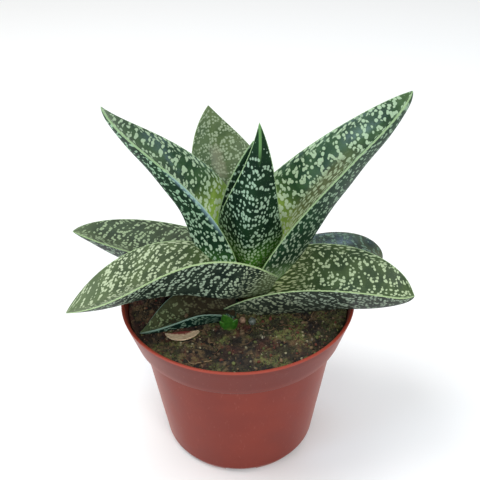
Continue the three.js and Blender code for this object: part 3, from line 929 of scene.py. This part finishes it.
def lattice_noise(points, size, seed):
    """A smooth random field from -1 to 1: values hashed from whole numbers at lattice points
    size apart, blended between them by an eased weight."""
    cell = points / size
    low = np.floor(cell).astype(np.int64)
    part = cell - low
    ease = part * part * (3 - 2 * part)
    total = 0
    for corner in np.ndindex(2, 2, 2):
        key = low + corner
        mixed = key[..., 0] * 374761393 + key[..., 1] * 668265263 + key[..., 2] * 1440662683
        mixed = (mixed + seed * 69069) & 0xFFFFFFFF
        mixed = ((mixed ^ (mixed >> 13)) * 1274126177) & 0xFFFFFFFF
        value = ((mixed ^ (mixed >> 16)) & 0xFFFFFF) / 0x7FFFFF - 1
        weight = np.prod(np.where(np.array(corner) == 1, ease, 1 - ease), axis=-1)
        total = total + value * weight
    return total


def soil_surface(x, y):
    """Height of the soil: gentle waves that fade to the wall, then clods, crumbs and grains."""
    r = np.hypot(x, y) / rim_radius
    wave = np.sin(x / 7 + 1) * np.cos(y / 9) + 0.5 * np.sin(x / 4 - y / 5)
    smooth = soil_level - 0.7 * r**6 + 0.6 * wave * (1 - r**4)
    flat = np.stack([x, y, 0 * x], axis=-1)
    rough = (
        0.8 * lattice_noise(flat, 6.0, 11) + 0.9 * np.abs(lattice_noise(flat, 2.8, 12))
        + 0.7 * np.abs(lattice_noise(flat, 1.3, 13)) + 0.35 * lattice_noise(flat, 0.7, 14)
    )
    return smooth + rough - 0.5


share = (np.arange(soil_rings) + 1) / soil_rings
ring_radius = soil_radius * share**0.7
angle = np.arange(soil_spokes) * 2 * np.pi / soil_spokes
x = ring_radius[::-1, None] * np.cos(angle)
y = ring_radius[::-1, None] * np.sin(angle)
top = np.stack([x, y, soil_surface(x, y)], axis=-1)
wall_profile = np.array(
    [
        (foot_radius - pot_wall - 0.4, soil_foot),
        (body_foot_radius - pot_wall - 0.3, foot_rise + 0.2),
        (body_top_radius - pot_wall - 0.4, ledge + pot_wall + 0.1),
        (collar_foot_radius - pot_wall - 0.4, ledge + pot_wall + 0.5),
    ]
)
rows = np.concatenate([turned(wall_profile, soil_spokes), top])
middle_height = float(soil_surface(np.zeros(1), np.zeros(1))[0])
ends = [[0, 0, soil_foot], [0, 0, middle_height]]
quads, fans = tube_faces(len(rows), soil_spokes)
points = np.concatenate([rows.reshape(-1, 3), ends])
soil = make_mesh("soil_fine", points, quads[:, ::-1], fans[:, ::-1])

# Soil's finish: dark peat with rust-brown patches on the left, moss on the right, darker patches
# at random and scattered pale grit.
soil_material, tree, shader = new_material("soil_peat")
where = object_point(tree)
to_right = split(tree, where)[0]
clods = cloud(tree, where, 380, 4, 0.65)
peat = mix(tree, ramp(tree, clods, 0.4, 0.62), linear(20, 16, 11), linear(100, 82, 55))
rusty = cloud(tree, move(tree, "ADD", where, (0.3, 0.1, 0)), 80, 2)
rusty = calc(tree, "SUBTRACT", rusty, to_right)
rusty = calc(tree, "MULTIPLY", ramp(tree, rusty, 0.5, 0.58), 0.6)
peat = mix(tree, rusty, peat, linear(84, 40, 32))
mossy = calc(tree, "ADD", cloud(tree, where, 75, 2), calc(tree, "MULTIPLY", to_right, 2.0))
tufts = ramp(tree, cloud(tree, where, 1500, 2), 0.4, 0.55)
moss = times(tree, ramp(tree, mossy, 0.47, 0.56), tufts, 0.8)
color = mix(tree, moss, peat, linear(104, 112, 58))
# Darker patches at random.
dark_patches = ramp(tree, cloud(tree, where, 105, 3), 0.56, 0.43, 0, 0.78)
color = mix(tree, dark_patches, color, linear(22, 16, 12))
grit = put(tree, "ShaderNodeTexVoronoi", {"Vector": where, "Scale": 620.0}).outputs
chosen = put(tree, "ShaderNodeSeparateColor", {0: grit["Color"]}).outputs[0]
speck = times(
    tree, ramp(tree, grit["Distance"], 0.4, 0.25), ramp(tree, chosen, 0.9, 0.94), 0.7
)
color = mix(tree, speck, color, linear(168, 160, 128))
tree.links.new(color, shader.inputs["Base Color"])
shader.inputs["Roughness"].default_value = 0.85
set_relief(tree, shader, cloud(tree, where, 1300, 4), 0.9, 0.0005)
soil.data.materials.append(soil_material)
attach(soil, "root")
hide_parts("potting_soil")

# Crumbs: lumps of peat, moss and grit that lie loose on the soil, most of them brown and some
# green, rust-red or pale.
crumb_count = 2200
crumb_rows = 4
crumb_columns = 7
crumb_reach = 48.4
crumb_middle_size = 0.34


def ball_points(polar, columns):
    """Points of a ball of radius 1: rings at the given angles from the bottom, then its poles."""
    turn = np.arange(columns) * 2 * np.pi / columns
    across = np.sin(polar)[:, None]
    height = -np.cos(polar)[:, None] + 0 * turn
    ball = np.stack([across * np.cos(turn), across * np.sin(turn), height], axis=-1)
    return np.concatenate([ball.reshape(-1, 3), [[0, 0, -1], [0, 0, 1]]])


def copied_faces(faces, count, points_each):
    """The faces of one shape, repeated for a number of copies that follow each other."""
    shift = (np.arange(count) * points_each)[:, None, None]
    return (faces + shift).reshape(-1, faces.shape[1])


chance = np.random.default_rng(7)
crumb_spread = crumb_reach * np.sqrt(chance.uniform(0.02, 1, crumb_count))
crumb_turn = chance.uniform(0, 2 * np.pi, crumb_count)
crumb_size = crumb_middle_size * np.exp(chance.normal(0, 0.5, crumb_count)).clip(0.5, 3.4)
crumb_x = crumb_spread * np.cos(crumb_turn)
crumb_y = crumb_spread * np.sin(crumb_turn)
crumb_z = soil_surface(crumb_x, crumb_y) + 0.25 * crumb_size
crumb_place = np.stack([crumb_x, crumb_y, crumb_z], axis=-1)[:, None]
ball = ball_points((np.arange(crumb_rows) + 0.7) * np.pi / (crumb_rows + 0.4), crumb_columns)
uneven = chance.uniform(0.7, 1.3, (crumb_count, len(ball), 1))
stretch = chance.uniform(0.6, 1.3, (crumb_count, 1, 3))
lumps = ball[None] * uneven * stretch * crumb_size[:, None, None] + crumb_place
crumb_kind = chance.uniform(0, 1, crumb_count)
crumb_light = chance.uniform(0, 1, crumb_count)
crumb_tint = np.stack([crumb_kind, crumb_light, 0 * crumb_x], axis=-1)
quads, fans = tube_faces(crumb_rows, crumb_columns)
crumbs = make_mesh(
    "soil_crumbs", lumps.reshape(-1, 3), copied_faces(quads[:, ::-1], crumb_count, len(ball)),
    copied_faces(fans[:, ::-1], crumb_count, len(ball)),
    {"tint": np.repeat(crumb_tint, len(ball), axis=0)},
)
crumb_material, tree, shader = new_material("soil_crumb")
kind, light = split(tree, attribute(tree, "tint"))[:2]
peat = mix(tree, light, linear(32, 24, 18), linear(130, 106, 76))
moss = mix(tree, light, linear(52, 60, 30), linear(112, 120, 66))
pale_grit = mix(tree, light, linear(120, 112, 92), linear(178, 172, 150))
tone = mix(tree, ramp(tree, kind, 0.55, 0.6), peat, moss)
tone = mix(tree, ramp(tree, kind, 0.84, 0.86), tone, linear(108, 54, 38))
tone = mix(tree, ramp(tree, kind, 0.96, 0.97), tone, pale_grit)
dirt = calc(tree, "MULTIPLY", cloud(tree, object_point(tree), 1800, 2), 0.5)
tree.links.new(mix(tree, dirt, tone, linear(30, 22, 16)), shader.inputs["Base Color"])
shader.inputs["Roughness"].default_value = 0.8
crumbs.data.materials.append(crumb_material)
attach(crumbs, "root")

# Rootlets: dry root threads that lie in loose curls on the soil, thinner towards one end.
thread_count = 48
thread_steps = 26
thread_sides = 5
thread_start_reach = 40
thread_end_reach = 48


def thread_tubes(path, radius, sides):
    """Tubes round many paths: rings of points about each path's direction, and its two ends."""
    along = unit(np.gradient(path, axis=1))
    side = unit(np.cross(along, [0.0, 0.0, 1.0]))
    up = np.cross(side, along)
    angle = (np.arange(sides) * 2 * np.pi / sides)[None, None, :, None]
    ring = np.cos(angle) * side[:, :, None] + np.sin(angle) * up[:, :, None]
    tube = path[:, :, None] + radius * ring
    return np.concatenate([tube.reshape(len(path), -1, 3), path[:, :1], path[:, -1:]], axis=1)


thread_length = chance.uniform(5, 15, thread_count)
thread_turn = chance.uniform(0, 2 * np.pi, thread_count)[:, None]
wriggle = chance.normal(0, 0.22, (thread_count, thread_steps))
curl = chance.normal(0, 0.09, (thread_count, 1))
thread_turn = thread_turn + np.cumsum(wriggle + curl, axis=1)
pace = (thread_length / thread_steps)[:, None]
start_spread = thread_start_reach * np.sqrt(chance.uniform(0.1, 1, thread_count))
start_turn = chance.uniform(0, 2 * np.pi, thread_count)
path_x = (start_spread * np.cos(start_turn))[:, None] + np.cumsum(pace * np.cos(thread_turn), axis=1)
path_y = (start_spread * np.sin(start_turn))[:, None] + np.cumsum(pace * np.sin(thread_turn), axis=1)
kept_in = np.minimum(1, thread_end_reach / np.hypot(path_x, path_y))
path_x, path_y = path_x * kept_in, path_y * kept_in
arch = chance.uniform(0.2, 2, (thread_count, 1))
lift = 0.5 * np.sin(np.linspace(0, np.pi, thread_steps)) * arch
path = np.stack([path_x, path_y, soil_surface(path_x, path_y) + 0.15 + lift], axis=-1)
smoothed = (np.roll(path, 1, axis=1) + path + np.roll(path, -1, axis=1)) / 3
path[:, 1:-1] = smoothed[:, 1:-1]
narrowing = (1 - 0.5 * np.linspace(0, 1, thread_steps))[None, :, None, None]
thread_radius = chance.uniform(0.09, 0.2, (thread_count, 1, 1, 1)) * narrowing
tubes = thread_tubes(path, thread_radius, thread_sides)
thread_tint = np.stack([chance.uniform(0, 1, thread_count)] * 3, axis=-1)
quads, fans = tube_faces(thread_steps, thread_sides)
rootlets = make_mesh(
    "rootlets", tubes.reshape(-1, 3), copied_faces(quads, thread_count, tubes.shape[1]),
    copied_faces(fans, thread_count, tubes.shape[1]),
    {"tint": np.repeat(thread_tint, tubes.shape[1], axis=0)},
)
rootlet_material, tree, shader = new_material("rootlet")
light = put(tree, "ShaderNodeAttribute", attribute_name="tint").outputs["Fac"]
dry = mix(tree, light, linear(96, 62, 42), linear(160, 134, 96))
soiled = ramp(tree, cloud(tree, object_point(tree), 300), 0.4, 0.7)
tree.links.new(mix(tree, soiled, dry, linear(70, 50, 36)), shader.inputs["Base Color"])
shader.inputs["Roughness"].default_value = 0.7
rootlets.data.materials.append(rootlet_material)
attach(rootlets, "root")

# Loose grains in front of the stem: a tan clay granule and a clear grit bead, half sunk. Each has
# its radius and middle in mm, two colours, its roughness and how clear it is.
grain_rows = 40
grain_columns = 64
grains = [
    dict(
        name="tan_granule", slot="granule", radius=1.6, middle=(1.8, -15.3, 74.2),
        dark=(122, 96, 76), pale=(168, 138, 114), rough=0.8, clear=0.0,
    ),
    dict(
        name="clear_grit_bead", slot="grit", radius=1.9, middle=(6, -16.4, 74.3),
        dark=(84, 94, 88), pale=(128, 138, 130), rough=0.22, clear=0.35,
    ),
]
ball = ball_points((np.arange(grain_rows) + 0.5) * np.pi / grain_rows, grain_columns)
lumpy = ball * (0.93 + 0.06 * lattice_noise(ball * 3 + 9, 1.7, 21)[:, None])
quads, fans = tube_faces(grain_rows, grain_columns)
for spec in grains:
    points = lumpy * spec["radius"] + np.array(spec["middle"])
    grain = make_mesh(spec["name"] + "_fine", points, quads[:, ::-1], fans[:, ::-1])
    grain_material, tree, shader = new_material(spec["name"] + "_skin")
    where = object_point(tree)
    speckle = ramp(tree, cloud(tree, where, 900, 3), 0.3, 0.7)
    tone = mix(tree, speckle, linear(*spec["dark"]), linear(*spec["pale"]))
    tree.links.new(tone, shader.inputs["Base Color"])
    shader.inputs["Roughness"].default_value = spec["rough"]
    shader.inputs["Transmission Weight"].default_value = spec["clear"]
    set_relief(tree, shader, cloud(tree, where, 1200, 3), 0.5, 0.0002)
    grain.data.materials.append(grain_material)
    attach(grain, "root")
    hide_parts(spec["name"])

# Stem: short, fleshy, ringed with old leaf scars, hidden by the leaf bases and the soil.
stem_centre = np.array([6.0, 2.0, 0.0])
stem_radius = 6.5
stem_foot = 44
stem_top = 85
stem_segments = 96
scar_depth = 0.02
stem_profile = rounded(
    [
        (0, stem_foot), (2.3, stem_foot + 2), (5.2, stem_foot + 16), (stem_radius, stem_foot + 28),
        (5.85, stem_top - 4), (3.2, stem_top), (0, stem_top),
    ],
    1.5,
)
stem_profile = densify(stem_profile, 0.4)
scars = 1 + scar_depth * np.sin(stem_profile[:, 1] * 2.4)
stem_profile[:, 0] = stem_profile[:, 0] * scars / (1 + scar_depth)
stem_rows = turned(stem_profile[1:-1], stem_segments) + stem_centre
ends = [stem_centre + [0, 0, stem_profile[0, 1]], stem_centre + [0, 0, stem_profile[-1, 1]]]
quads, fans = tube_faces(len(stem_rows), stem_segments)
points = np.concatenate([stem_rows.reshape(-1, 3), ends])
stem = make_mesh("stem_fine", points, quads[:, ::-1], fans[:, ::-1])
stem_material, tree, shader = new_material("stem_skin")
bands = cloud(tree, move(tree, "MULTIPLY", object_point(tree), (0.3, 0.3, 1)), 500, 2)
skin_color = mix(tree, ramp(tree, bands, 0.3, 0.7), linear(112, 104, 66), linear(150, 150, 96))
tree.links.new(skin_color, shader.inputs["Base Color"])
shader.inputs["Roughness"].default_value = 0.6
stem.data.materials.append(stem_material)
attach(stem, "root")
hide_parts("stem")

# Floor: a wide pale sheet. Light: a bright even room, a large lamp above on the left, one above
# the viewer, and three small bluish windows that show as glints on the leaves.
floor_reach = 4000.0
floor_material, tree, shader = new_material("floor_pale")
shader.inputs["Base Color"].default_value = linear(250, 250, 250)
shader.inputs["Roughness"].default_value = 0.8
floor_points = np.array([(-1, -1, 0), (1, -1, 0), (1, 1, 0), (-1, 1, 0)]) * floor_reach
floor = make_mesh("floor", floor_points, np.array([[0, 1, 2, 3]]), smooth=False)
floor.data.materials.append(floor_material)

world = bpy.data.worlds.new("studio")
world.use_nodes = True
room = world.node_tree.nodes["Background"]
room.inputs["Color"].default_value = (1, 0.99, 0.965, 1)
room.inputs["Strength"].default_value = 0.66
scene.world = world
light_aim = Vector((0, 0, 0.09))
window_blue = (0.55, 0.78, 1)


def area_light(name, place, size, power, color=(1, 1, 1)):
    """A square soft light, with its place and size in metres and its power in watts, aimed at
    the plant."""
    data = bpy.data.lights.new(name, "AREA")
    data.size = size
    data.energy = power
    data.color = color
    light = bpy.data.objects.new(name, data)
    scene.collection.objects.link(light)
    light.location = place
    light.rotation_mode = "QUATERNION"
    light.rotation_quaternion = (light_aim - Vector(place)).to_track_quat("-Z", "Y")


area_light("key", (-0.5, 0.0, 1.1), 0.6, 7)
area_light("front", (0.35, -0.9, 0.75), 0.5, 4.5)
area_light("left_window", (-0.87, -0.47, 0.28), 0.24, 2.1, window_blue)
area_light("back_window", (0.33, 0.36, 0.95), 0.2, 1.2, window_blue)
area_light("right_window", (0.95, 0.1, 0.32), 0.14, 0.5, (0.5, 0.75, 1))
